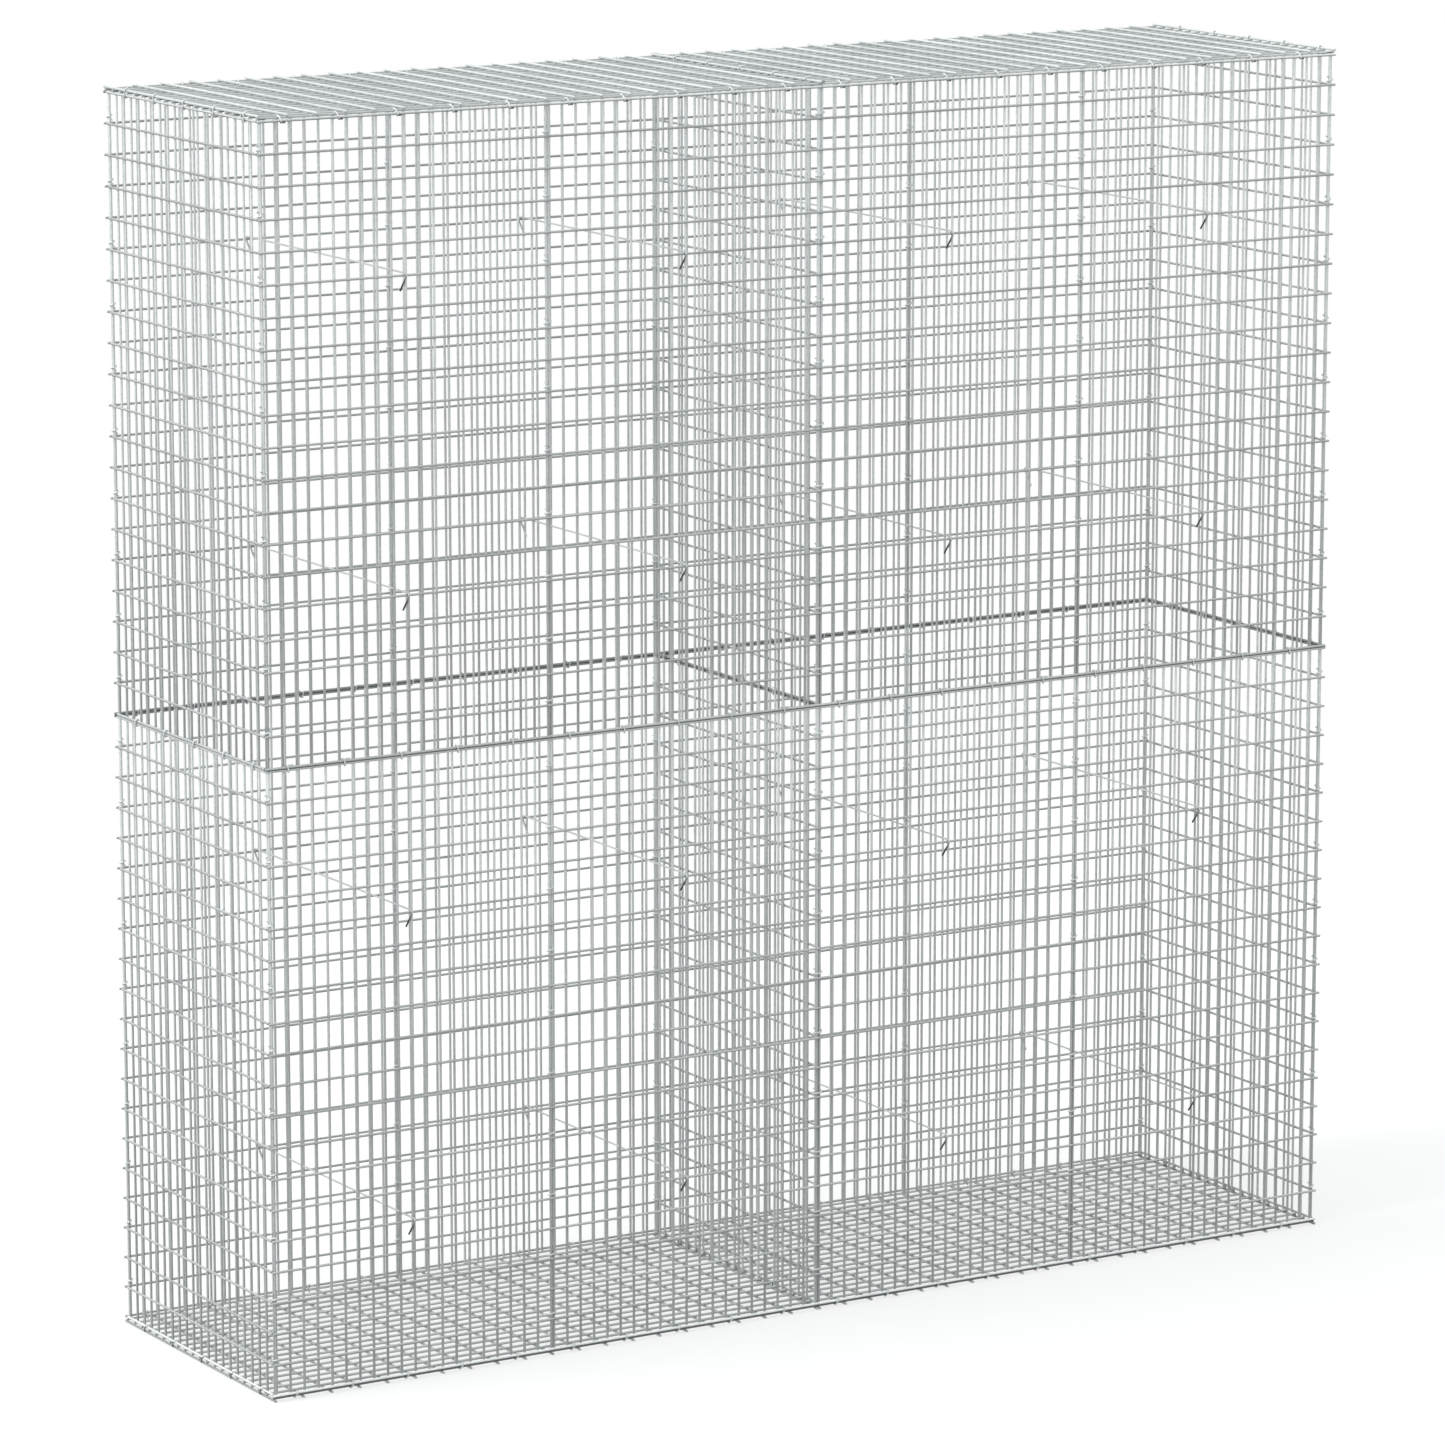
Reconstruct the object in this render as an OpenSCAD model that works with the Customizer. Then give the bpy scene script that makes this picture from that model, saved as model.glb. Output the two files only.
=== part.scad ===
// Gabion wall: empty wire baskets in two bays and two tiers, joined with rings and braced with tie wires.
// Frame: X along the wall, front towards -Y, Z up, origin at the bottom centre.
// The long wires of each panel lie on its inside and the short wires on its outside.

/* [Panels] */
// Width of an upright panel over its wire ends
panel_w = 499.5; // [440:0.5:560]
// Height of an upright panel over its wire ends
panel_h = 999.5; // [900:0.5:1100]
// Thickness of the mesh wire
wire_d = 4; // [3.5:0.25:4]
// Steps of the mesh along each side of a panel
cells = 20; // [12:8:28]
// Distance from an edge wire's centre to the wire ends
overhang = 2.15; // [2.05:0.05:2.5]
// Extra length of the front and back wires past the outer corners
corner_over = 4.5; // [0:0.5:5]
// Gap between neighbouring panels
joint_gap = 0.5; // [0.3:0.1:0.8]

/* [Wall] */
// Clear depth between the front and back long wires
inner_d = 511; // [450:1:570]

/* [Rings] */
// Thickness of the ring wire
ring_d = 2.5; // [2:0.25:2.5]
// Clearance between a ring and the corners of the wires in it
ring_clear = 0.2; // [0.1:0.05:0.3]
// Distance of a ring along the wall from the upright beside it
ring_side_x = 5; // [4.5:0.25:6]
// Distance of a ring along the depth from the upright beside it
ring_side_y = 10; // [9:0.25:11]
// Height of the legs of the end clips above the ground
clip_lift = 0.8; // [0.5:0.1:1.5]

/* [Ties] */
// Thickness of a tie wire
tie_d = 3; // [2.5:0.25:3.5]
// Clearance between a tie wire and the mesh
tie_clear = 0.25; // [0.2:0.05:0.3]
// Centre-line radius of a hook's bend
hook_r = 3.5; // [3.5:0.25:4]
// Turn of a hook from the tie's own direction
hook_turn = 129; // [125:1:132]
// Straight length of a hook's leg
hook_leg = 31; // [24:1:34]
// Distance of a bend's centre behind the outer wire's front face
hook_in = 0.3; // [0.2:0.05:0.35]
// Difference in thickness between a hook's leg and the tie
leg_thin = 0.2; // [0.15:0.05:0.3]
// Length of a leg that lies inside the bend
leg_root = 0.4; // [0.3:0.05:0.4]

/* [Hidden] */
$fn = 32;

// Wires of a panel: the even long ones, and the odd short ones with both edges
odd_rows = [for (j = [1:2:cells - 1]) j];
long_wires = [for (i = [0:2:cells]) i];
short_wires = concat([0], odd_rows, [cells]);
ring_columns = [for (i = [1:4:cells - 3]) i];
tie_rows = [cells / 4, 3 * cells / 4];
tiers = [0, 1];
faces = [-1, 1];

// Places of the panels
half_wire = wire_d / 2;
end_gap = joint_gap / 2;
edge_in = end_gap + overhang;
layer_t = 2 * wire_d;
module_w = panel_w + joint_gap;
module_h = panel_h + joint_gap;
half_length = 2 * module_w;
column_x = [for (k = [0:3]) (k - 1.5) * module_w];
tier_z = [for (k = tiers) layer_t + (k + 0.5) * module_h];
seam_z = layer_t + module_h;
top_z = layer_t + 2 * module_h;
wall_y = inner_d / 2 + wire_d;
end_w = inner_d - joint_gap;

// Centre lines of the wires along the seams
long_y = inner_d / 2 + half_wire;
short_y = wall_y + half_wire;
corner_x = half_length - edge_in;
end_edge_y = end_w / 2 - overhang;
end_long_x = half_length - half_wire;
end_short_x = half_length + half_wire;
partition_short_x = half_wire;
low_edge_z = layer_t + edge_in;
high_edge_z = top_z - edge_in;
floor_long_z = wire_d + half_wire;
lid_long_z = top_z + half_wire;
lid_short_z = top_z + wire_d + half_wire;

// Floor and lid panels, a little wider than the walls that they close
cover_w = 2 * (wall_y + wire_d);
cover_over = wall_y + wire_d - long_y;
cover_len = half_length + wire_d - end_gap;
cover_x = end_gap + cover_len / 2;
cover_end_x = half_length + wire_d - overhang;

// Ring and tie sizes
ring_off = half_wire * sqrt(2) + ring_clear + ring_d / 2;
ring_up = half_wire + ring_d / 2 + tie_clear;
tie_side = half_wire + tie_d / 2 + tie_clear;
bend_y = wall_y + wire_d - hook_in;

// Place of wire number k across a panel, from the panel's middle
function wire_at(k, size, over) = -size / 2 + over + k * (size - 2 * over) / cells;
function row_z(tier, j) = tier_z[tier] + wire_at(j, panel_h, overhang);

// Places of the rings along level seams
ring_x = [for (x = column_x) for (i = ring_columns) x + wire_at(i, panel_w, overhang) + ring_side_x];
ring_y = [for (i = ring_columns) wire_at(i, end_w, overhang) + ring_side_y];

// A mesh panel standing in the XZ plane, with its short wires towards -Y
module panel(w, h, over_w, over_h, more_left, more_right) {
  color("silver") union() {
    for (i = long_wires) {
      translate([wire_at(i, w, over_w) - half_wire, 0, -h / 2])
        cube([wire_d, wire_d, h]);
    }
    for (j = short_wires) {
      translate([-w / 2 - more_left, -wire_d, wire_at(j, h, over_h) - half_wire])
        cube([w + more_left + more_right, wire_d, wire_d]);
    }
  }
}

module front_panel(column, tier) {
  left = column == 0 ? corner_over : 0;
  right = column == 3 ? corner_over : 0;
  translate([column_x[column], -wall_y, tier_z[tier]])
    panel(panel_w, panel_h, overhang, overhang, left, right);
}

module back_panel(column, tier) {
  left = column == 0 ? corner_over : 0;
  right = column == 3 ? corner_over : 0;
  translate([column_x[column], wall_y, tier_z[tier]])
    rotate([0, 0, 180])
      panel(panel_w, panel_h, overhang, overhang, right, left);
}

// A panel across the wall, with its short wires on the side given
module cross_panel(x, side, tier) {
  translate([x, 0, tier_z[tier]])
    rotate([0, 0, side * 90])
      panel(end_w, panel_h, overhang, overhang, 0, 0);
}

module floor_panel(side) {
  translate([side * cover_x, 0, wire_d])
    rotate([90, 0, 90])
      panel(cover_w, cover_len, cover_over, overhang, 0, 0);
}

module lid_panel(side) {
  translate([side * cover_x, 0, top_z + wire_d])
    rotate([-90, 0, 90])
      panel(cover_w, cover_len, cover_over, overhang, 0, 0);
}

// A tie wire through the basket, with a hook at each end that turns back under the outer wire
module tie() {
  color("gainsboro") union() {
    rotate([90, 0, 0])
      cylinder(h = 2 * bend_y, d = tie_d, center = true);
    for (turn = [0, 180]) {
      rotate([0, 0, turn]) translate([0, -bend_y, -hook_r]) rotate([180, -90, 0]) {
        rotate_extrude(angle = hook_turn) translate([hook_r, 0]) circle(d = tie_d);
        rotate([0, 0, hook_turn]) translate([hook_r, -leg_root, 0]) rotate([-90, 0, 0])
          cylinder(h = hook_leg + leg_root, d = tie_d - leg_thin);
      }
    }
  }
}

module ties(columns, tier) {
  for (column = columns) {
    for (row = tie_rows) {
      translate([column_x[column] - tie_side, 0, row_z(tier, row) + tie_side])
        tie();
    }
  }
}

// Half a ring around a wire along Z, open towards -X
module ring_end() {
  rotate([0, 0, -90])
    rotate_extrude(angle = 180) translate([ring_off, 0]) circle(d = ring_d);
}

// The two straight sides of a ring or a clip
module ring_sides(length) {
  for (side = faces) {
    translate([0, side * ring_off, 0]) rotate([0, 90, 0])
      cylinder(h = length, d = ring_d);
  }
}

// A closed ring around two wires along Z, at the origin and at x = gap
module ring(gap) {
  color("darkgray") union() {
    translate([gap, 0, 0]) ring_end();
    rotate([0, 0, 180]) ring_end();
    ring_sides(gap);
  }
}

// A clip over a wire at the origin, with legs towards +X
module clip(length) {
  color("darkgray") union() {
    rotate([0, 0, 180]) ring_end();
    ring_sides(length);
  }
}

// A round ring about three uprights: two neighbours in a wall and the partition's own
module three_wire_ring() {
  half_rise = (long_y - end_edge_y) / 2;
  around = norm([max(edge_in, half_wire), half_rise]);
  color("darkgray") translate([0, half_rise, 0])
    rotate_extrude() translate([around + ring_off, 0]) circle(d = ring_d);
}

// A ring on a seam along X, between wires at [y, z] places
module ring_on_x(x, from, to) {
  step = to - from;
  translate([x, from[0], from[1]])
    rotate([atan2(-step[0], step[1]), 0, 0]) rotate([0, -90, 0])
      ring(norm(step));
}

// Turns a ring or clip onto a seam along Y, between wires at [x, z] places
module seam_on_y(y, from, to) {
  step = to - from;
  translate([from[0], y, from[1]])
    rotate([0, atan2(step[0], step[1]), 0]) rotate([0, -90, 90])
      children();
}

module ring_on_y(y, from, to) {
  seam_on_y(y, from, to) ring(norm(to - from));
}

// A clip over the lowest wire of a panel across the wall, with legs down to the height given
module clip_on_y(y, x, height) {
  seam_on_y(y, [x, low_edge_z], [x, height]) clip(low_edge_z - height);
}

module corner_rings(side) {
  run = end_long_x - corner_x;
  rise = long_y - end_edge_y;
  for (face = faces, tier = tiers, j = odd_rows) {
    translate([side * corner_x, face * long_y, row_z(tier, j) + ring_up])
      rotate([0, 0, atan2(-face * rise, side * run)])
        ring(norm([run, rise]));
  }
}

module seam_rings(face) {
  for (side = faces, tier = tiers, j = odd_rows) {
    translate([side * module_w - edge_in, face * long_y, row_z(tier, j) + ring_up])
      ring(2 * edge_in);
  }
}

module partition_rings() {
  for (face = faces, tier = tiers, j = odd_rows) {
    translate([0, face * long_y, row_z(tier, j) + ring_up])
      rotate([0, 0, face > 0 ? 180 : 0])
        three_wire_ring();
  }
}

module tier_rings() {
  below = seam_z - edge_in;
  above = seam_z + edge_in;
  for (x = ring_x, face = faces) {
    ring_on_x(x, [face * short_y, below], [face * short_y, above]);
  }
  for (y = ring_y, x = [-end_short_x, end_short_x, partition_short_x]) {
    ring_on_y(y, [x, below], [x, above]);
  }
}

module lid_rings() {
  for (x = ring_x, face = faces) {
    ring_on_x(x, [face * short_y, high_edge_z], [face * long_y, lid_long_z]);
  }
  for (y = ring_y) {
    for (side = faces) {
      ring_on_y(y, [side * end_short_x, high_edge_z], [side * cover_end_x, lid_short_z]);
    }
    ring_on_y(y, [-edge_in, lid_short_z], [edge_in, lid_short_z]);
  }
}

module floor_rings() {
  for (x = ring_x, face = faces) {
    ring_on_x(x, [face * short_y, low_edge_z], [face * long_y, floor_long_z]);
  }
  for (y = ring_y) {
    for (side = faces) {
      clip_on_y(y, side * end_short_x, clip_lift);
    }
    clip_on_y(y, partition_short_x, wire_d + joint_gap);
  }
}

front_panel(0, 0);  // front_lower_1
front_panel(1, 0);  // front_lower_2
front_panel(2, 0);  // front_lower_3
front_panel(3, 0);  // front_lower_4
front_panel(0, 1);  // front_upper_1
front_panel(1, 1);  // front_upper_2
front_panel(2, 1);  // front_upper_3
front_panel(3, 1);  // front_upper_4
back_panel(0, 0);  // back_lower_1
back_panel(1, 0);  // back_lower_2
back_panel(2, 0);  // back_lower_3
back_panel(3, 0);  // back_lower_4
back_panel(0, 1);  // back_upper_1
back_panel(1, 1);  // back_upper_2
back_panel(2, 1);  // back_upper_3
back_panel(3, 1);  // back_upper_4
cross_panel(-half_length, -1, 0);  // left_end_lower
cross_panel(-half_length, -1, 1);  // left_end_upper
cross_panel(half_length, 1, 0);  // right_end_lower
cross_panel(half_length, 1, 1);  // right_end_upper
cross_panel(0, 1, 0);  // partition_lower
cross_panel(0, 1, 1);  // partition_upper
floor_panel(-1);  // floor_left
floor_panel(1);  // floor_right
lid_panel(-1);  // lid_left
lid_panel(1);  // lid_right
ties([0, 1], 0);  // ties_left_lower
ties([0, 1], 1);  // ties_left_upper
ties([2, 3], 0);  // ties_right_lower
ties([2, 3], 1);  // ties_right_upper
corner_rings(-1);  // rings_left_corners
corner_rings(1);  // rings_right_corners
seam_rings(-1);  // rings_front_seams
seam_rings(1);  // rings_back_seams
partition_rings();  // rings_partition
tier_rings();  // rings_tier
lid_rings();  // rings_lid
floor_rings();  // rings_floor
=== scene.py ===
import math
from collections import namedtuple

import bpy
import numpy as np
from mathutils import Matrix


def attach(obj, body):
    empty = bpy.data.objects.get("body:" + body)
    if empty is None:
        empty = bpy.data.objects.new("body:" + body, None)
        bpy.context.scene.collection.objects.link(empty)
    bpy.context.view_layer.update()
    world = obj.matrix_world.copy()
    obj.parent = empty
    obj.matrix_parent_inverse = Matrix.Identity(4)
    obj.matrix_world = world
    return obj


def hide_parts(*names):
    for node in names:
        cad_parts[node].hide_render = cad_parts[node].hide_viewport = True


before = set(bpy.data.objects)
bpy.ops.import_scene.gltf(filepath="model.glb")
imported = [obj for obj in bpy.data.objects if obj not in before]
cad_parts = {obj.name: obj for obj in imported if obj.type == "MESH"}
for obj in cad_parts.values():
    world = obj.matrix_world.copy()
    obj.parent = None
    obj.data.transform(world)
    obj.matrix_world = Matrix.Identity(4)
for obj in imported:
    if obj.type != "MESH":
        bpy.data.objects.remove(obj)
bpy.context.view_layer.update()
rng = np.random.default_rng(1208)

# Sizes in millimetres, as in the part's source
MM_PER_METRE = 1000
WIRE_D = 4.0
RING_D = 2.5
TIE_D = 3.0
PANEL_W = 499.5
PANEL_H = 999.5
CELLS = 20
OVERHANG = 2.15
CORNER_OVER = 4.5
JOINT_GAP = 0.5
INNER_D = 511.0
TIE_CLEAR = 0.25
HOOK_R = 3.5
HOOK_TURN = 129.0
HOOK_LEG = 31.0
HOOK_IN = 0.3

# Places that follow from them
HALF = WIRE_D / 2
EDGE_IN = JOINT_GAP / 2 + OVERHANG
LAYERS = 2 * WIRE_D
MODULE_W = PANEL_W + JOINT_GAP
MODULE_H = PANEL_H + JOINT_GAP
HALF_LENGTH = 2 * MODULE_W
COLUMN_X = [(k - 1.5) * MODULE_W for k in range(4)]
TIER_Z = [LAYERS + (k + 0.5) * MODULE_H for k in range(2)]
SEAM_Z = LAYERS + MODULE_H
TOP_Z = LAYERS + 2 * MODULE_H
WALL_Y = INNER_D / 2 + WIRE_D
END_W = INNER_D - JOINT_GAP
LONG_Y = INNER_D / 2 + HALF
SHORT_Y = WALL_Y + HALF
CORNER_X = HALF_LENGTH - EDGE_IN
END_EDGE_Y = END_W / 2 - OVERHANG
END_LONG_X = HALF_LENGTH - HALF
END_SHORT_X = HALF_LENGTH + HALF
LOW_Z = LAYERS + EDGE_IN
HIGH_Z = TOP_Z - EDGE_IN
COVER_W = 2 * (WALL_Y + WIRE_D)
COVER_OVER = WALL_Y + WIRE_D - LONG_Y
COVER_LEN = HALF_LENGTH + WIRE_D - JOINT_GAP / 2
COVER_X = JOINT_GAP / 2 + COVER_LEN / 2
COVER_END_X = HALF_LENGTH + WIRE_D - OVERHANG
TIE_SIDE = HALF + TIE_D / 2 + TIE_CLEAR
TIE_ROWS = (5, 15)

# How far the two layers of wire are pressed into each other at the welds
SET_DOWN = 0.3
# How far the rings draw each of the two edge wires of a tier seam towards the other
SEAM_PULL = 0.35

# A weld bead: its height to each side of the contact, its reach there and at its tips, and its scale
BEAD_LIFT = 1.25
BEAD_REACH = 1.7
BEAD_TIP = 0.75
BEAD_SCALE = (0.92, 1.1)

# Bevels on the cut ends of mesh wires, ties and rings
CHAMFER = 0.35
TIE_CHAMFER = 0.4
RING_CHAMFER = 0.3

# Fineness: sides of round wires and weld beads, and points along bent wires
WIRE_SIDES = 12
TIE_SIDES = 10
RING_SIDES = 8
WELD_SIDES = 6
RING_STEPS = 26
TAIL_STEPS = 4
CLIP_STEPS = 14
HOOK_STEPS = 10
# A direction along none of the wires, from which the sides of a round wire are counted
ASKEW = (0.31, 0.57, 0.76)

# Painted shade, and on weld beads their darker metal: 0 is plain, 1 takes away this share of the colour, and
# below 0 is painted light
SHADE_AND_DULL_LOSS = 0.5
# Painted shade along an upright wire, darker towards its foot, and painted light near its top: shares of its
# height and the painted shade there
LOWER_PAINTED_SHADE = ((0.0, 0.75), (0.4, 0.52), (0.7, 0.04), (1.0, -0.5))
UPPER_PAINTED_SHADE = ((0.0, 0.75), (0.4, 0.0), (0.7, -0.45), (1.0, -0.53))
# Painted shade added on the underside of level wires, and on that of the highest ones
UNDERSIDE_PAINTED_SHADE = 0.4
RIM_UNDERSIDE_SHADE = 2.1
# How far from the middle of a tier seam the painted shade of its crevice reaches
CREVICE = 1.2
# A painted shadow low on a lid's long wires, under the end wire: points at these distances from the outer
# end, which of the wire's points are in it, and how far below the panel's middle it starts
EAVES_PAINTED_SHADOW = 1.7
EAVES = (4.0, 5.0, 15.0, 17.0)
EAVES_DARK = (2, 3)
EAVES_DROP = 1.4
BEAD_DULL = 0.5
# Painted shade on the rings in a tier seam, and on the parts of the floor's clips below the wire
TIER_RING_PAINTED_SHADE = 0.1
CLIP_UNDERSIDE_SHADE = 1.6
# Painted shade on a tie's legs at the front and at the back, reached over this length below the bend
FRONT_LEG_PAINTED_SHADE = 1.85
BACK_LEG_PAINTED_SHADE = 0.2
LEG_FADE = 5.0

# An upright panel's painted shade, and painted light below 0: on level wires, on the lowest and the highest
# one, on those of a tier seam and in its crevice, and the most on an upright
Upright = namedtuple("Upright", "level lowest highest seam crevice most")
FRONT = Upright(level=0.45, lowest=-0.9, highest=-0.4, seam=0.1, crevice=1.65, most=1.0)
INNER = Upright(level=0.45, lowest=0.45, highest=0.45, seam=0.8, crevice=1.6, most=0.1)
LEFT_END = Upright(level=0.75, lowest=-0.2, highest=-0.3, seam=0.4, crevice=0.9, most=1.0)

# A lying panel's painted shade, and painted light below 0: on its long wires, on the one along the front, on
# its short wires, on those at the wall's ends and on those at the middle
Lying = namedtuple("Lying", "long front short end middle")
LID = Lying(long=0.13, front=-0.02, short=-0.22, end=-0.22, middle=1.0)
FLOOR = Lying(long=0.1, front=1.4, short=0.1, end=0.7, middle=0.1)


def wire_at(k, size, over):
    """The place of a panel's wire number k, from the panel's middle."""
    return -size / 2 + over + k * (size - 2 * over) / CELLS


def row_z(tier, j):
    """The height of a tier's level wire number j."""
    return TIER_Z[tier] + wire_at(j, PANEL_H, OVERHANG)


def add_object(name, data):
    obj = bpy.data.objects.new(name, data)
    bpy.context.scene.collection.objects.link(obj)
    return obj


class Shape:
    """Points in millimetres, faces, and three values at each point: a wire's own tone, 1 on a weld,
    and the painted shade there, painted light below 0, which on weld beads also holds their darker metal."""

    def __init__(self):
        self.points = []
        self.faces = []
        self.tone = []
        self.weld = []
        self.painted_shade_and_dull = []
        self.count = 0

    def add(self, points, faces, tone, weld=0.0, painted_shade_and_dull=0.0):
        self.points.append(points)
        self.faces.extend([[i + self.count for i in f] for f in faces])
        self.tone.append(np.full(len(points), tone))
        self.weld.append(np.full(len(points), weld))
        self.painted_shade_and_dull.append(np.zeros(len(points)) + painted_shade_and_dull)
        self.count += len(points)

    def wire(self, path, radius, sides, bevel, tone, painted_shade_and_dull=0.0):
        """A round wire. Its painted shade is one value, or one for each point of the path."""
        points, faces, owner = tube(path, radius, sides, bevel)
        painted_shade_and_dull = np.zeros(len(path)) + painted_shade_and_dull
        self.add(points, faces, tone, 0.0, painted_shade_and_dull[owner])

    def piece(self, name, material, slot, *nodes):
        mesh = bpy.data.meshes.new(name)
        points = np.concatenate(self.points) / MM_PER_METRE
        mesh.from_pydata(points.tolist(), [], self.faces)
        mesh.polygons.foreach_set("use_smooth", np.ones(len(mesh.polygons), bool))
        for label, values in (("tone", self.tone), ("weld", self.weld), ("painted_shade_and_dull", self.painted_shade_and_dull)):
            layer = mesh.attributes.new(label, "FLOAT", "POINT")
            layer.data.foreach_set("value", np.concatenate(values).astype(np.float32))
        mesh.materials.append(material)
        mesh.update()
        obj = add_object(name, mesh)
        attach(obj, "root")
        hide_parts(*nodes)


def tube(path, radius, sides, bevel):
    """A round wire along a path of points. bevel is the length of the bevel on its cut ends.
    Returns the points, the faces and the path's point that each point belongs to."""
    path = np.asarray(path, float)
    step = np.diff(path, axis=0)
    step /= np.linalg.norm(step, axis=1)[:, None]
    along = np.concatenate([step[:1], step[:-1] + step[1:], step[-1:]])
    along /= np.linalg.norm(along, axis=1)[:, None]
    across = np.cross(along[0], ASKEW)
    turn = np.arange(sides) * 2 * math.pi / sides
    rings = []
    for t in along:
        across = across - t * (across @ t)
        across /= np.linalg.norm(across)
        side = np.cross(t, across)
        rings.append(np.outer(np.cos(turn), across) + np.outer(np.sin(turn), side))
    rows = [p + ring * radius for p, ring in zip(path, rings)]
    rows[0] = rows[0] + along[0] * bevel
    rows[-1] = rows[-1] - along[-1] * bevel
    first_cap = path[0] + rings[0] * (radius - bevel)
    last_cap = path[-1] + rings[-1] * (radius - bevel)
    n = len(rows)
    # The bevels and caps have points of their own, so that smooth shading doesn't run over their edges
    strips = [(k, k + 1) for k in range(n - 1)] + [(n, n + 1), (n + 2, n + 3)]
    rows += [first_cap, rows[0], rows[-1], last_cap, first_cap, last_cap]
    faces = []
    for a, b in strips:
        for i in range(sides):
            j = (i + 1) % sides
            faces.append([a * sides + i, a * sides + j, b * sides + j, b * sides + i])
    faces.append([(n + 4) * sides + i for i in reversed(range(sides))])
    faces.append([(n + 5) * sides + i for i in range(sides)])
    owner = np.repeat([*range(n), 0, 0, n - 1, n - 1, 0, n - 1], sides)
    return np.concatenate(rows), faces, owner


def weld_bead():
    """The metal squeezed out between two crossing wires: a small double cone about the contact point."""
    turn = (np.arange(WELD_SIDES) + 0.5) * 2 * math.pi / WELD_SIDES
    rows = []
    for lift, reach in ((-BEAD_LIFT, BEAD_TIP), (0.0, BEAD_REACH), (BEAD_LIFT, BEAD_TIP)):
        rows.append(np.stack([reach * np.cos(turn), np.full(WELD_SIDES, lift), reach * np.sin(turn)], 1))
    faces = []
    for a, b in ((0, WELD_SIDES), (WELD_SIDES, 2 * WELD_SIDES)):
        for i in range(WELD_SIDES):
            j = (i + 1) % WELD_SIDES
            faces.append([a + i, a + j, b + j, b + i])
    return np.concatenate(rows), faces


BEAD, BEAD_FACES = weld_bead()


def level_wire_painted_shade(painted_shades, z, points):
    """The painted shade, and painted light below 0, on the points of a level wire of an upright panel."""
    drop = (z - points[:, 2]) / HALF
    if abs(z - SEAM_Z) < WIRE_D:
        facing = np.clip(CREVICE - abs(points[:, 2] - SEAM_Z), 0, 1)
        return painted_shades.seam + (painted_shades.crevice - painted_shades.seam) * facing
    if z > HIGH_Z - HALF:
        return painted_shades.highest + RIM_UNDERSIDE_SHADE * np.clip(drop, 0, 1)
    if z < LOW_Z + HALF:
        return painted_shades.lowest + UNDERSIDE_PAINTED_SHADE * drop
    return painted_shades.level + UNDERSIDE_PAINTED_SHADE * drop


def cross_wire_painted_shade(painted_shades, x):
    """The painted shade, and painted light below 0, on a short wire of a lying panel, by its place along the
    wall.
    """
    if abs(x) > END_LONG_X:
        return painted_shades.end
    if 0 < x < WIRE_D:
        return painted_shades.middle
    return painted_shades.short


def panel(node, place, turn, size, painted_shades, more_left=0.0, more_right=0.0):
    """All the wires of one welded panel. Long wires lie towards the local +Y, short ones towards -Y."""
    shape = Shape()
    w, h, over_w, over_h = size
    turn = np.array(turn, float)
    place = np.array(place, float)
    layer = HALF - SET_DOWN / 2
    upright = turn[2, 2] == 1

    def placed(points):
        return np.array(points) @ turn.T + place

    us = [wire_at(i, w, over_w) for i in range(CELLS + 1)]
    vs = [wire_at(j, h, over_h) for j in range(CELLS + 1)]
    for u in us:
        if upright:
            # Painted shade along an upright, darker towards its foot, with painted light near its top
            by_height = UPPER_PAINTED_SHADE if place[2] > SEAM_Z else LOWER_PAINTED_SHADE
            line = [[u, layer, (share - 0.5) * h] for share, _ in by_height]
            painted_shade_and_dull = np.array([min(d, painted_shades.most) for _, d in by_height])
        elif painted_shades is LID:
            outward = 1 if place[0] < 0 else -1
            line = [[u, layer, outward * (h / 2 - inward)] for inward in (0.0, *EAVES, h)]
            painted_shade_and_dull = np.full(len(line), painted_shades.front if u == us[0] else painted_shades.long)
        else:
            line = [[u, layer, -h / 2], [u, layer, h / 2]]
            painted_shade_and_dull = np.full(len(line), painted_shades.front if u == us[0] else painted_shades.long)
        points, faces, owner = tube(placed(line), HALF, WIRE_SIDES, CHAMFER)
        painted_shade_and_dull = painted_shade_and_dull[owner]
        # A painted shadow low on the lid's long wires, under its end wire
        if painted_shades is LID:
            below = np.clip(place[2] - EAVES_DROP - points[:, 2], 0, 1)
            painted_shade_and_dull += (EAVES_PAINTED_SHADOW - painted_shade_and_dull) * np.isin(owner, EAVES_DARK) * below
        shape.add(points, faces, rng.random(), 0.0, painted_shade_and_dull)
    for v in vs:
        line = placed([[-w / 2 - more_left, -layer, v], [w / 2 + more_right, -layer, v]])
        to_seam = SEAM_Z - line[0, 2]
        if abs(to_seam) < WIRE_D:
            line[:, 2] += math.copysign(SEAM_PULL, to_seam)
        points, faces, _ = tube(line, HALF, WIRE_SIDES, CHAMFER)
        # Painted shade, and painted light below 0, by the wire's place on its panel
        if upright:
            painted_shade_and_dull = level_wire_painted_shade(painted_shades, line[0, 2], points)
        else:
            painted_shade_and_dull = cross_wire_painted_shade(painted_shades, line[0, 0])
        shape.add(points, faces, rng.random(), 0.0, painted_shade_and_dull)
    for u in us:
        for v in vs:
            scale = rng.uniform(*BEAD_SCALE)
            bead = placed(BEAD * [scale, 1.0, scale] + [u, 0, v])
            shape.add(bead, BEAD_FACES, rng.random(), 1.0, BEAD_DULL)
    shape.piece(node + ".wires", MESH_ZINC, "mesh_wire", node)


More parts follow.
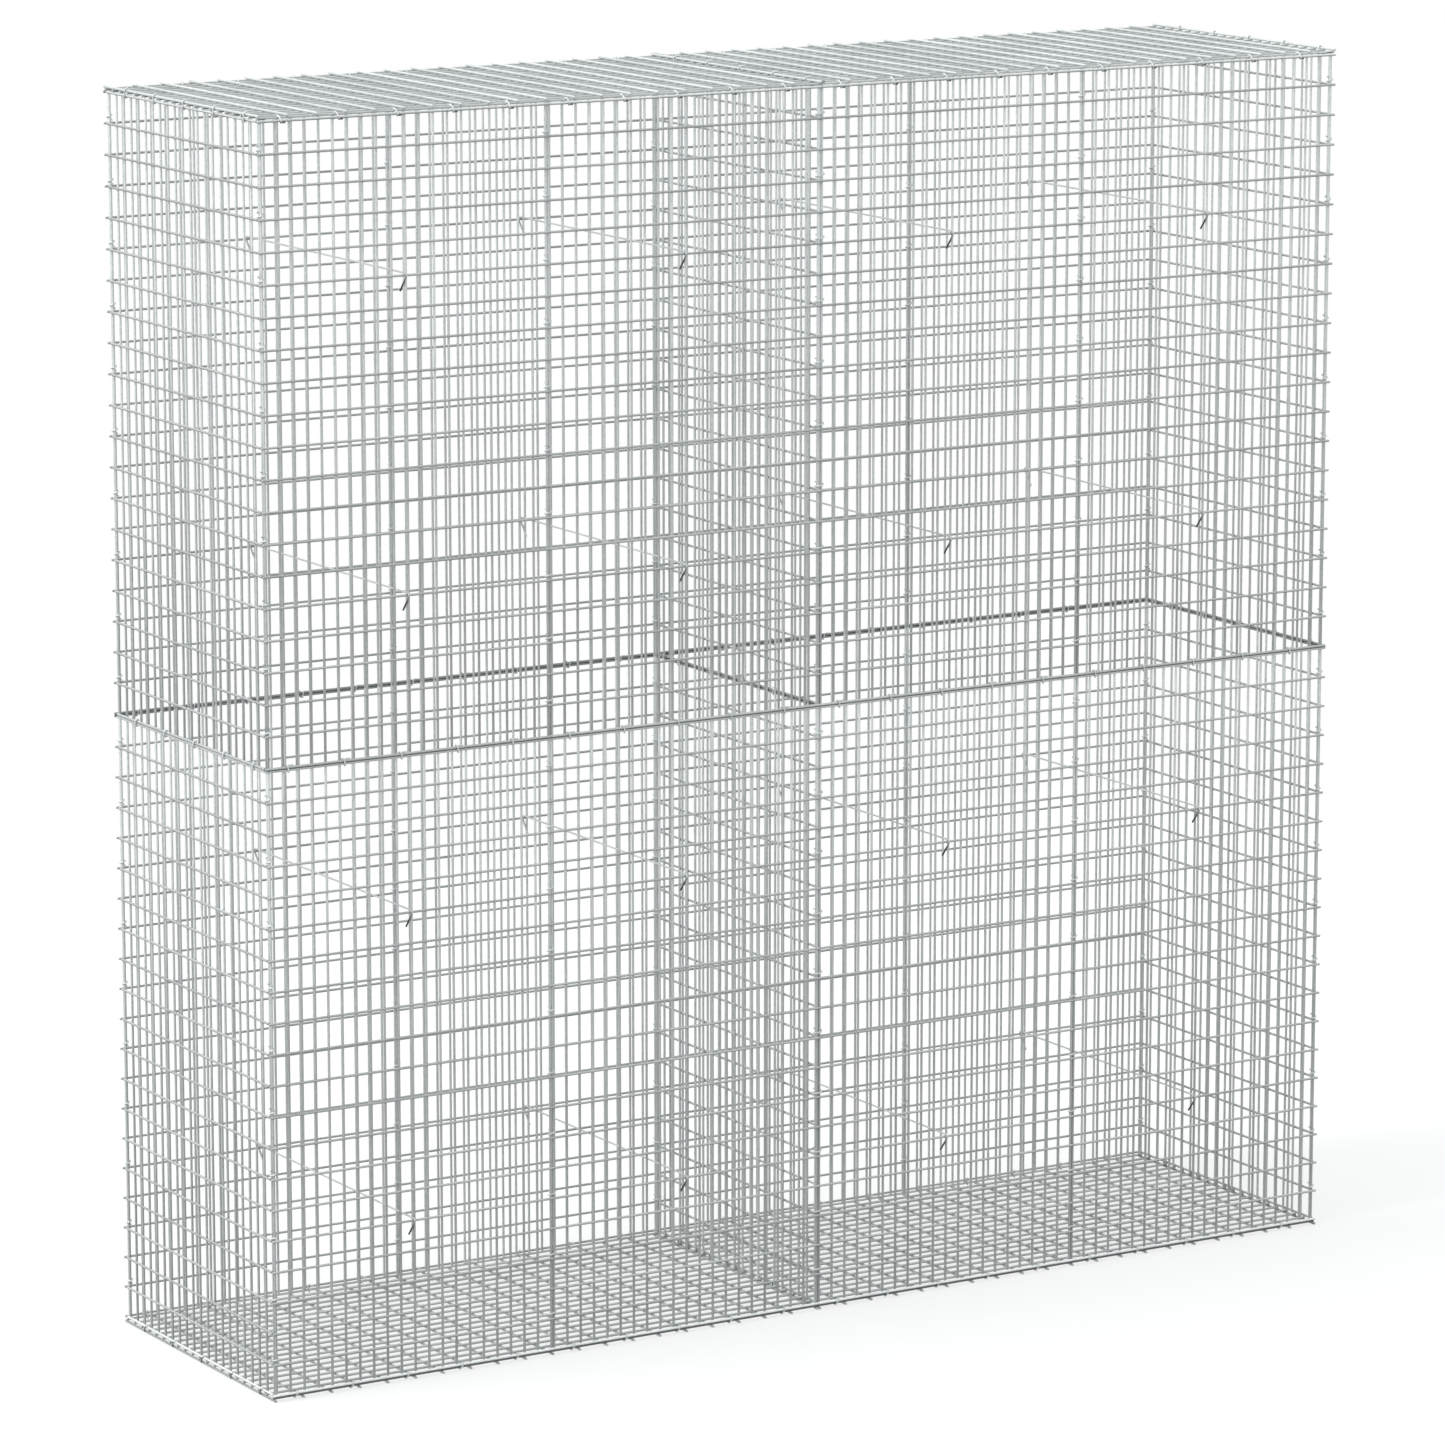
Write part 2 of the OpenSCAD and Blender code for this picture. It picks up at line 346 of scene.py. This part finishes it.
def stadium(a, b, reach, turns):
    """Points around two places in a plane, at a distance from the line between them.
    Turn 0 is at the far side of b, and a quarter turn later the path is beside the middle of the line."""
    a = np.array(a, float)
    b = np.array(b, float)
    gap = np.linalg.norm(b - a)
    e1 = (b - a) / gap
    e2 = np.array([-e1[1], e1[0]])
    arc = math.pi * reach
    total = 2 * arc + 2 * gap
    out = []
    for t in turns:
        s = (t % 1.0) * total
        if s < arc / 2:
            q = s / reach
            p = b + reach * (math.cos(q) * e1 + math.sin(q) * e2)
        elif s < arc / 2 + gap:
            p = b + reach * e2 - (s - arc / 2) * e1
        elif s < 1.5 * arc + gap:
            q = (s - arc / 2 - gap) / reach + math.pi / 2
            p = a + reach * (math.cos(q) * e1 + math.sin(q) * e2)
        elif s < 1.5 * arc + 2 * gap:
            p = a - reach * e2 + (s - 1.5 * arc - gap) * e1
        else:
            q = (s - 1.5 * arc - 2 * gap) / reach + 1.5 * math.pi
            p = b + reach * (math.cos(q) * e1 + math.sin(q) * e2)
        out.append(p)
    return np.array(out)


RING_R = RING_D / 2
RING_PLAY = 0.1
RING_REACH = HALF + RING_R + RING_PLAY
RING_JITTER = 1.2


def ring_path(a, b, turns, rise, tail, reach=RING_REACH):
    """One open turn about two wires, with a tail along the seam. turns says where it starts and stops.
    Returns places in the plane across the seam, and places along it."""
    plane = stadium(a, b, reach, np.linspace(*turns, RING_STEPS))
    along = np.linspace(0, rise, RING_STEPS)
    plane = np.concatenate([plane, np.repeat(plane[-1:], TAIL_STEPS, 0)])
    along = np.concatenate([along, rise + tail * np.linspace(1 / TAIL_STEPS, 1, TAIL_STEPS)])
    return plane, along


def ring_on(shape, axis, at, plane, along, painted_shade_and_dull=0.0):
    """Adds a ring on a seam along X, Y or Z. The plane's two coordinates are the other two axes in order."""
    jitter = rng.uniform(-RING_JITTER, RING_JITTER)
    others = [k for k in range(3) if k != axis]
    path = np.zeros((len(plane), 3))
    path[:, others] = plane
    path[:, axis] = at + along + jitter
    shape.wire(path, RING_R, RING_SIDES, RING_CHAMFER, rng.random(), painted_shade_and_dull)


def tie_path(x, z):
    """A tie wire from front to back, bent round the outer wires with a leg that turns back and down."""
    bend = WALL_Y + WIRE_D - HOOK_IN
    half = [[x, 0.0, z], [x, bend / 2, z]]
    for q in np.radians(np.linspace(0, HOOK_TURN, HOOK_STEPS)):
        half.append([x, bend + HOOK_R * math.sin(q), z - HOOK_R + HOOK_R * math.cos(q)])
    last = math.radians(HOOK_TURN)
    end = np.array(half[-1])
    for part in (0.5, 1.0):
        half.append((end + HOOK_LEG * part * np.array([0, math.cos(last), -math.sin(last)])).tolist())
    back = np.array(half)
    front = back[1:][::-1] * [1, -1, 1]
    return np.concatenate([front, back])


def shader_node(tree, kind, **values):
    """A node with constant values on its sockets. Words in a socket's name are joined by _ here."""
    node = tree.nodes.new(kind)
    for name, number in values.items():
        node.inputs[name.replace("_", " ")].default_value = number
    return node


def math_node(tree, kind, a, b):
    """The result of a sum with two values, each a number or the output of a node."""
    node = shader_node(tree, "ShaderNodeMath")
    node.operation = kind
    for k, v in enumerate((a, b)):
        if isinstance(v, (int, float)):
            node.inputs[k].default_value = v
        else:
            tree.links.new(v, node.inputs[k])
    return node.outputs["Value"]


def map_range(tree, source, start, stop):
    """Changes a range of values into another. start and stop hold the value before and after."""
    node = shader_node(
        tree, "ShaderNodeMapRange", From_Min=start[0], From_Max=stop[0], To_Min=start[1], To_Max=stop[1]
    )
    tree.links.new(source, node.inputs["Value"])
    return node.outputs["Result"]


def seen_rays(tree):
    """1 for what the camera sees directly, in a reflection or through glass, and 0 for other light."""
    ray = shader_node(tree, "ShaderNodeLightPath")
    seen = ray.outputs["Is Camera Ray"]
    for kind in ("Is Glossy Ray", "Is Transmission Ray"):
        seen = math_node(tree, "MAXIMUM", seen, ray.outputs[kind])
    return seen


# The zinc's patterns: their scale to a metre, and how much each adds to the place on the colour ramp
METALLIC = 0.3
SPANGLE_SCALE = 310.0
PATCH_SCALE = 7.0
PATCH_SHARE = 0.5
MOTTLE_SCALE = 240.0
MOTTLE_SHARE = 0.4
TONE_SHARE = 0.22
RAMP_FROM = 0.15
RAMP_TO = 0.95
# The mottle also changes the roughness, down and up, and makes a fine bump
MOTTLE_LOW = 0.3
MOTTLE_HIGH = 0.7
SMOOTHER = 0.08
ROUGHER = 0.12
BUMP_STRENGTH = 0.25
BUMP_HEIGHT = 0.0003


def zinc(name, dark, light, rough, spangle, weld_dark):
    """Galvanised steel: spangle, patches, mottle, a tone for each wire, darker welds, and painted shade and
    light from a point value.
    """
    mat = bpy.data.materials.new(name)
    mat.use_nodes = True
    tree = mat.node_tree
    links = tree.links
    tree.nodes.clear()
    out = shader_node(tree, "ShaderNodeOutputMaterial")
    bsdf = shader_node(tree, "ShaderNodeBsdfPrincipled", Metallic=METALLIC)
    links.new(bsdf.outputs["BSDF"], out.inputs["Surface"])
    coord = shader_node(tree, "ShaderNodeTexCoord")

    def noise(scale, detail, roughness):
        node = shader_node(tree, "ShaderNodeTexNoise", Scale=scale, Detail=detail, Roughness=roughness)
        links.new(coord.outputs["Object"], node.inputs["Vector"])
        return node.outputs["Fac"]

    def point_value(label):
        node = shader_node(tree, "ShaderNodeAttribute")
        node.attribute_name = label
        return node.outputs["Fac"]

    def times(a, b):
        return math_node(tree, "MULTIPLY", a, b)

    cells = shader_node(tree, "ShaderNodeTexVoronoi", Scale=SPANGLE_SCALE)
    links.new(coord.outputs["Object"], cells.inputs["Vector"])
    grey = shader_node(tree, "ShaderNodeRGBToBW")
    links.new(cells.outputs["Color"], grey.inputs["Color"])
    patches = noise(PATCH_SCALE, detail=3.0, roughness=0.6)
    mottle = noise(MOTTLE_SCALE, detail=4.0, roughness=0.65)
    mix = times(grey.outputs["Val"], spangle)
    mix = math_node(tree, "ADD", mix, times(patches, PATCH_SHARE))
    mix = math_node(tree, "ADD", mix, times(mottle, MOTTLE_SHARE))
    mix = math_node(tree, "ADD", mix, times(point_value("tone"), TONE_SHARE))
    mix = math_node(tree, "SUBTRACT", mix, times(point_value("weld"), weld_dark))
    ramp = shader_node(tree, "ShaderNodeValToRGB")
    first, last = ramp.color_ramp.elements
    first.position = RAMP_FROM
    first.color = (*dark, 1)
    last.position = RAMP_TO
    last.color = (*light, 1)
    links.new(mix, ramp.inputs["Fac"])
    # The painted shade, and on weld beads their darker metal, takes away a share of the colour
    kept = math_node(tree, "SUBTRACT", 1.0, times(point_value("painted_shade_and_dull"), SHADE_AND_DULL_LOSS))
    shade = shader_node(tree, "ShaderNodeVectorMath")
    shade.operation = "SCALE"
    links.new(ramp.outputs["Color"], shade.inputs[0])
    links.new(kept, shade.inputs["Scale"])
    links.new(shade.outputs["Vector"], bsdf.inputs["Base Color"])
    rough_map = map_range(tree, mottle, (MOTTLE_LOW, rough - SMOOTHER), (MOTTLE_HIGH, rough + ROUGHER))
    links.new(rough_map, bsdf.inputs["Roughness"])
    bump = shader_node(tree, "ShaderNodeBump", Strength=BUMP_STRENGTH, Distance=BUMP_HEIGHT)
    links.new(mottle, bump.inputs["Height"])
    links.new(bump.outputs["Normal"], bsdf.inputs["Normal"])
    return mat


# Dark and light end of the ramp, roughness, share of the spangle, and how much darker welds are
MESH_ZINC = zinc("mesh_zinc", (0.31, 0.33, 0.33), (0.66, 0.68, 0.68), 0.46, 0.22, 0.28)
TIE_ZINC = zinc("tie_zinc", (0.37, 0.39, 0.39), (0.66, 0.68, 0.68), 0.36, 0.18, 0.0)
RING_ZINC = zinc("ring_zinc", (0.46, 0.48, 0.48), (0.76, 0.78, 0.78), 0.36, 0.18, 0.0)

# Panels: how they are turned, and their width, height and overhangs
PLAIN = [[1, 0, 0], [0, 1, 0], [0, 0, 1]]
ABOUT = [[-1, 0, 0], [0, -1, 0], [0, 0, 1]]
FACE_LEFT = [[0, 1, 0], [-1, 0, 0], [0, 0, 1]]
FACE_RIGHT = [[0, -1, 0], [1, 0, 0], [0, 0, 1]]
LIE = [[0, 0, 1], [1, 0, 0], [0, 1, 0]]
LIE_TURNED = [[0, 0, -1], [1, 0, 0], [0, -1, 0]]
FACE_SIZE = (PANEL_W, PANEL_H, OVERHANG, OVERHANG)
END_SIZE = (END_W, PANEL_H, OVERHANG, OVERHANG)
COVER_SIZE = (COVER_W, COVER_LEN, COVER_OVER, OVERHANG)

for tier, level in enumerate(("lower", "upper")):
    for k in range(4):
        left = CORNER_OVER if k == 0 else 0.0
        right = CORNER_OVER if k == 3 else 0.0
        place = [COLUMN_X[k], -WALL_Y, TIER_Z[tier]]
        panel(f"front_{level}_{k + 1}", place, PLAIN, FACE_SIZE, FRONT, left, right)
        place = [COLUMN_X[k], WALL_Y, TIER_Z[tier]]
        panel(f"back_{level}_{k + 1}", place, ABOUT, FACE_SIZE, INNER, right, left)
    panel(f"left_end_{level}", [-HALF_LENGTH, 0, TIER_Z[tier]], FACE_LEFT, END_SIZE, LEFT_END)
    panel(f"right_end_{level}", [HALF_LENGTH, 0, TIER_Z[tier]], FACE_RIGHT, END_SIZE, INNER)
    panel(f"partition_{level}", [0, 0, TIER_Z[tier]], FACE_RIGHT, END_SIZE, INNER)
for name, side in (("left", -1), ("right", 1)):
    panel(f"floor_{name}", [side * COVER_X, 0, WIRE_D], LIE, COVER_SIZE, FLOOR)
    panel(f"lid_{name}", [side * COVER_X, 0, TOP_Z + WIRE_D], LIE_TURNED, COVER_SIZE, LID)

# Ties
for name, columns in (("left", (0, 1)), ("right", (2, 3))):
    for tier, level in enumerate(("lower", "upper")):
        shape = Shape()
        for k in columns:
            for row in TIE_ROWS:
                z = row_z(tier, row) + TIE_SIDE
                path = tie_path(COLUMN_X[k] - TIE_SIDE, z)
                # Painted shade on each leg below its bend
                leg = np.clip((z - path[:, 2] - HOOK_R) / LEG_FADE, 0, 1)
                painted_shade_and_dull = np.where(path[:, 1] < 0, FRONT_LEG_PAINTED_SHADE, BACK_LEG_PAINTED_SHADE) * leg
                shape.wire(path, TIE_D / 2, TIE_SIDES, TIE_CHAMFER, rng.random(), painted_shade_and_dull)
        node = f"ties_{name}_{level}"
        shape.piece(node + ".hooked", TIE_ZINC, "tie_wire", node)

# Rings on the upright seams, each a little above a row of short wires
X, Y, Z = 0, 1, 2
ODD_ROWS = range(1, CELLS, 2)
ABOVE = 4.2
UPRIGHT_RISE = 9.0
UPRIGHT_TAIL = 1.0
CORNER_TURNS = (0.05, 1.2)
SEAM_TURNS = (0.2, 1.35)
# The partition's rings are round, about a middle of almost no length
ROUND_HALF = 0.05


def upright_rings(shape, a, b, turns, reach=RING_REACH):
    for tier in range(2):
        for j in ODD_ROWS:
            plane, along = ring_path(a, b, turns, UPRIGHT_RISE, UPRIGHT_TAIL, reach)
            ring_on(shape, Z, row_z(tier, j) + ABOVE, plane, along)


for name, side in (("left", -1), ("right", 1)):
    shape = Shape()
    for face in (-1, 1):
        a = (side * CORNER_X, face * LONG_Y)
        b = (side * END_LONG_X, face * END_EDGE_Y)
        upright_rings(shape, a, b, CORNER_TURNS)
    shape.piece(f"rings_{name}_corners.open", RING_ZINC, "ring_wire", f"rings_{name}_corners")

for name, face in (("front", -1), ("back", 1)):
    shape = Shape()
    for side in (-1, 1):
        a = (side * MODULE_W - EDGE_IN, face * LONG_Y)
        b = (side * MODULE_W + EDGE_IN, face * LONG_Y)
        upright_rings(shape, a, b, SEAM_TURNS)
    shape.piece(f"rings_{name}_seams.open", RING_ZINC, "ring_wire", f"rings_{name}_seams")

shape = Shape()
round_three = math.hypot(EDGE_IN, (LONG_Y - END_EDGE_Y) / 2) + RING_REACH
for face in (-1, 1):
    middle = face * (LONG_Y + END_EDGE_Y) / 2
    upright_rings(shape, (-ROUND_HALF, middle), (ROUND_HALF, middle), SEAM_TURNS, round_three)
shape.piece("rings_partition.open", RING_ZINC, "ring_wire", "rings_partition")

# Rings on the level seams, each beside an upright and with its tail along the seam
BESIDE_X = 4.2
BESIDE_Y = 5.0
RING_COLUMNS = range(1, CELLS - 2, 4)
RING_X = [x + wire_at(i, PANEL_W, OVERHANG) + BESIDE_X for x in COLUMN_X for i in RING_COLUMNS]
RING_Y = [wire_at(i, END_W, OVERHANG) + BESIDE_Y for i in RING_COLUMNS]
LEVEL_RISE = 6.0
LONG_TAIL = 8.0
MIDDLE_TAIL = 5.0
SHORT_TAIL = 3.0

# Where they start and stop, in turns
TIER_FACES = ((-1, (-0.12, 0.9)), (1, (0.1, -0.9)))
TIER_TURNS = (-0.1, 0.95)
LID_FACES = ((-1, (-0.35, 0.62)), (1, (0.35, -0.62)))
LID_ENDS = ((-1, (-0.3, 0.65)), (1, (0.3, -0.65)))
LID_TURNS = (-0.2, 0.85)
FLOOR_FACES = ((-1, (0.3, -0.75)), (1, (-0.3, 0.75)))

# A ring on the lid's front or back is bright for most of its turn, with painted shade on the last part and
# the tail, which pass under the edge wire
TAIL_PAINTED_SHADE = 1.55
TAIL_FROM = 0.75 * RING_STEPS
TAIL_FADE = 4
LID_RING_PAINTED_SHADE = TAIL_PAINTED_SHADE * np.clip((np.arange(RING_STEPS + TAIL_STEPS) - TAIL_FROM) / TAIL_FADE, 0, 1)


def level_ring(shape, axis, at, a, b, turns, tail, painted_shade_and_dull=0.0):
    plane, along = ring_path(a, b, turns, LEVEL_RISE, tail)
    ring_on(shape, axis, at, plane, along, painted_shade_and_dull)


shape = Shape()
for face, turns in TIER_FACES:
    a = (face * SHORT_Y, SEAM_Z - EDGE_IN)
    b = (face * SHORT_Y, SEAM_Z + EDGE_IN)
    for x in RING_X:
        level_ring(shape, X, x, a, b, turns, LONG_TAIL, TIER_RING_PAINTED_SHADE)
for x in (-END_SHORT_X, END_SHORT_X, HALF):
    for y in RING_Y:
        level_ring(shape, Y, y, (x, SEAM_Z - EDGE_IN), (x, SEAM_Z + EDGE_IN), TIER_TURNS, MIDDLE_TAIL)
shape.piece("rings_tier.open", RING_ZINC, "ring_wire", "rings_tier")

shape = Shape()
for face, turns in LID_FACES:
    a = (face * SHORT_Y, HIGH_Z)
    b = (face * LONG_Y, TOP_Z + HALF)
    for x in RING_X:
        level_ring(shape, X, x, a, b, turns, LONG_TAIL, LID_RING_PAINTED_SHADE)
lid_short_z = TOP_Z + WIRE_D + HALF
for y in RING_Y:
    for side, turns in LID_ENDS:
        a = (side * END_SHORT_X, HIGH_Z)
        b = (side * COVER_END_X, lid_short_z)
        level_ring(shape, Y, y, a, b, turns, MIDDLE_TAIL)
    level_ring(shape, Y, y, (-EDGE_IN, lid_short_z), (EDGE_IN, lid_short_z), LID_TURNS, SHORT_TAIL)
shape.piece("rings_lid.open", RING_ZINC, "ring_wire", "rings_lid")

# Rings along the floor's front and back, and clips open below at its ends and partition
END_CLIP_Z = 2.4
PARTITION_CLIP_Z = 6.0
# How far a clip runs along the seam: over its bend, and by its second foot
CLIP_BEND_RUN = (1.0, 4.0)
CLIP_RUN = 7.0

shape = Shape()
for face, turns in FLOOR_FACES:
    a = (face * SHORT_Y, LOW_Z)
    b = (face * LONG_Y, WIRE_D + HALF)
    for x in RING_X:
        level_ring(shape, X, x, a, b, turns, MIDDLE_TAIL)
for y in RING_Y:
    for x, foot in ((-END_SHORT_X, END_CLIP_Z), (END_SHORT_X, END_CLIP_Z), (HALF, PARTITION_CLIP_Z)):
        q = np.linspace(-0.5 * math.pi, 0.5 * math.pi, CLIP_STEPS)
        bend = np.stack([x + RING_REACH * np.sin(q), LOW_Z + RING_REACH * np.cos(q)], 1)
        plane = np.concatenate([[[bend[0, 0], foot]], bend, [[bend[-1, 0], foot]]])
        if x < 0:
            plane = plane[::-1]
        along = np.concatenate([[0.0], np.linspace(*CLIP_BEND_RUN, CLIP_STEPS), [CLIP_RUN]])
        # Painted shade on the part of a clip below the wire
        painted_shade_and_dull = CLIP_UNDERSIDE_SHADE * np.clip((LOW_Z + HALF - plane[:, 1]) / HALF, 0, 1)
        ring_on(shape, Y, y, plane, along, painted_shade_and_dull)
shape.piece("rings_floor.open", RING_ZINC, "ring_wire", "rings_floor")

# Floor: grey to the light that falls on it, with a glow where it is seen. It looks white with a faint shadow
FLOOR_HALF = 3.0
FLOOR_GREY = (0.26, 0.26, 0.26, 1)
FLOOR_GLOW = 0.66
WHITE = (1, 1, 1, 1)

mesh = bpy.data.meshes.new("floor")
corners = [(x * FLOOR_HALF, y * FLOOR_HALF, 0) for x, y in ((-1, -1), (1, -1), (1, 1), (-1, 1))]
mesh.from_pydata(corners, [], [[0, 1, 2, 3]])
floor = add_object("floor", mesh)
paper = bpy.data.materials.new("paper")
paper.use_nodes = True
tree = paper.node_tree
tree.nodes.clear()
out = shader_node(tree, "ShaderNodeOutputMaterial")
lit = shader_node(tree, "ShaderNodeBsdfDiffuse", Color=FLOOR_GREY)
glow = shader_node(tree, "ShaderNodeEmission", Color=WHITE)
tree.links.new(math_node(tree, "MULTIPLY", seen_rays(tree), FLOOR_GLOW), glow.inputs["Strength"])
total = shader_node(tree, "ShaderNodeAddShader")
tree.links.new(lit.outputs["BSDF"], total.inputs[0])
tree.links.new(glow.outputs["Emission"], total.inputs[1])
tree.links.new(total.outputs["Shader"], out.inputs["Surface"])
mesh.materials.append(paper)

# Surroundings: white where they are seen, and a soft room that is lighter above and to the left
ROOM_COLOUR = (0.97, 1.0, 1.0, 1)
ROOM_LOW = (-0.45, 0.12)
ROOM_HIGH = (0.35, 1.25)
ROOM_RIGHT = (1.0, 0.65)
ROOM_LEFT = (-1.0, 1.25)

world = bpy.data.worlds.new("studio")
bpy.context.scene.world = world
world.use_nodes = True
tree = world.node_tree
tree.nodes.clear()
out = shader_node(tree, "ShaderNodeOutputWorld")
room = shader_node(tree, "ShaderNodeBackground", Color=ROOM_COLOUR)
white = shader_node(tree, "ShaderNodeBackground", Color=WHITE, Strength=1.0)
coord = shader_node(tree, "ShaderNodeTexCoord")
split = shader_node(tree, "ShaderNodeSeparateXYZ")
tree.links.new(coord.outputs["Generated"], split.inputs["Vector"])
by_height = map_range(tree, split.outputs["Z"], ROOM_LOW, ROOM_HIGH)
by_side = map_range(tree, split.outputs["X"], ROOM_RIGHT, ROOM_LEFT)
tree.links.new(math_node(tree, "MULTIPLY", by_height, by_side), room.inputs["Strength"])
pick = shader_node(tree, "ShaderNodeMixShader")
tree.links.new(seen_rays(tree), pick.inputs["Fac"])
tree.links.new(room.outputs["Background"], pick.inputs[1])
tree.links.new(white.outputs["Background"], pick.inputs[2])
tree.links.new(pick.outputs["Shader"], out.inputs["Surface"])

# Key light: far off, large and soft, from the upper left
KEY_ENERGY = 1.9
KEY_ANGLE = 30.0
KEY_AT = (-7.5, 0.8, 6.5)

lamp = bpy.data.lights.new("key", "SUN")
lamp.energy = KEY_ENERGY
lamp.angle = math.radians(KEY_ANGLE)
key = add_object("key", lamp)
key.location = KEY_AT
key.rotation_euler = (-key.location).to_track_quat("-Z", "Y").to_euler()

# Camera: the photo's side of the wall, tilted down where the photo's camera is level and its picture shifted
CAMERA_AT = (-5.6614, -9.2800, 3.0956)
CAMERA_TILT = 11.234
CAMERA_TURN = -31.271

lens = bpy.data.cameras.new("camera")
lens.sensor_width = 36.0
lens.lens = 167.9
lens.clip_end = 200.0
camera = add_object("camera", lens)
camera.location = CAMERA_AT
camera.rotation_euler = (math.radians(90 - CAMERA_TILT), 0, math.radians(CAMERA_TURN))
bpy.context.scene.camera = camera
bpy.context.scene.view_settings.view_transform = "Standard"
